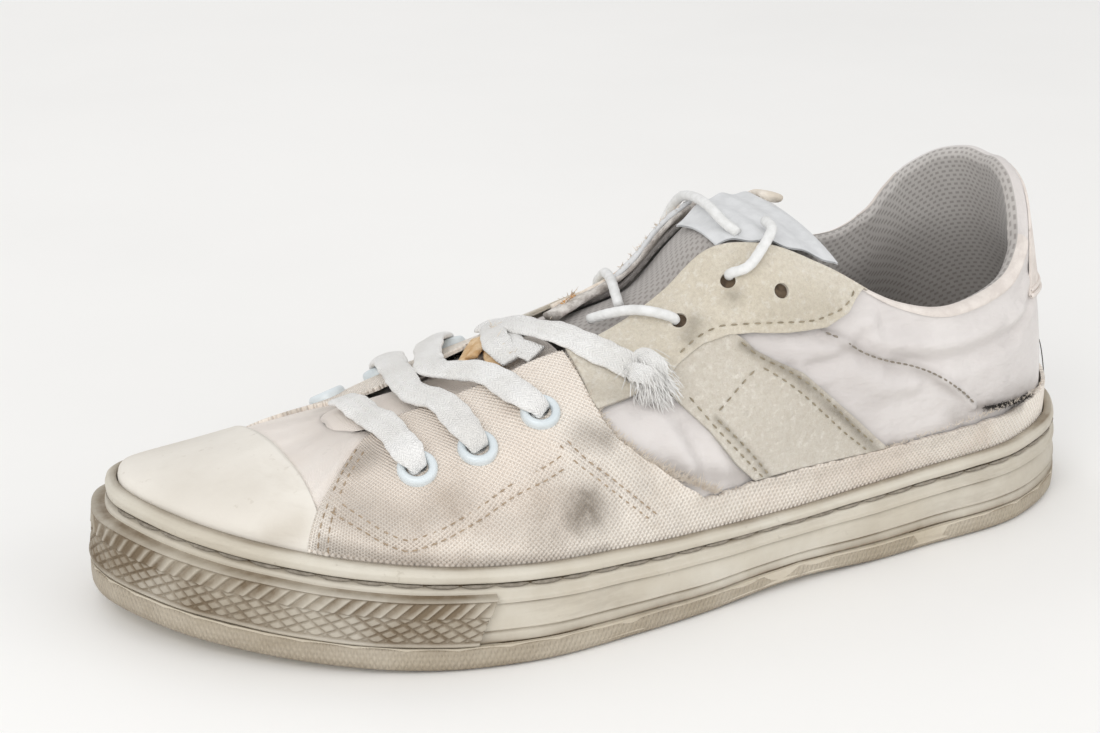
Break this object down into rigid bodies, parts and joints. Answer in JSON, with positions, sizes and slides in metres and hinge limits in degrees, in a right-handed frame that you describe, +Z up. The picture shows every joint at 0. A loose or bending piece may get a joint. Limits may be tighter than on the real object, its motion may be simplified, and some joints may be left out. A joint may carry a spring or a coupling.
{
  "type": "sneaker",
  "caption": "Worn low-top sneaker for the left foot: a canvas and rubber toe half on a nylon and suede heel half, with a padded collar, eyelets, laces and a rubber foxing.",
  "frame": {"origin": "centre of the whole box, on the floor under the sole", "axes": "+X forward to the toe, +Y to the wearer's left, which is the shoe's outer side, +Z up"},
  "size_m": [0.2937, 0.1143, 0.1008],
  "materials": {
    "outsole_rubber": "matt, worn and dirty",
    "rubber": "matt off-white, stained",
    "insole": "worn",
    "nylon": "slightly shiny woven nylon",
    "canvas": "coarse dirty cotton weave",
    "suede": "napped suede",
    "lining": "padded mesh",
    "tongue_cotton": "cotton",
    "label": "woven label, bare",
    "eyelet": "white enamel",
    "lace": "flat woven lace",
    "cord": "round cord"
  },
  "bodies": {
    "root": {"canvas": "canvas", "cord_bar_1": "cord", "cord_bar_2": "cord", "cord_bar_3": "cord", "cord_bar_4": "cord", "eyelet_inner_1": "eyelet", "eyelet_inner_2": "eyelet", "eyelet_inner_3": "eyelet", "eyelet_outer_1": "eyelet", "eyelet_outer_2": "eyelet", "eyelet_outer_3": "eyelet", "foxing": "rubber", "heel_tab": "lining", "insole": "insole", "lace_crossings": "lace", "lace_end": "lace", "lace_knot": "lace", "outsole": "outsole_rubber", "suede_eyestay_inner": "suede", "suede_eyestay_outer": "suede", "suede_stripe_inner": "suede", "suede_stripe_outer": "suede", "toe_bumper": "rubber", "toe_cap": "rubber", "tongue_front": "tongue_cotton", "tongue_label": "label", "tongue_rear": "lining", "upper": "nylon"}
  },
  "joints": []
}
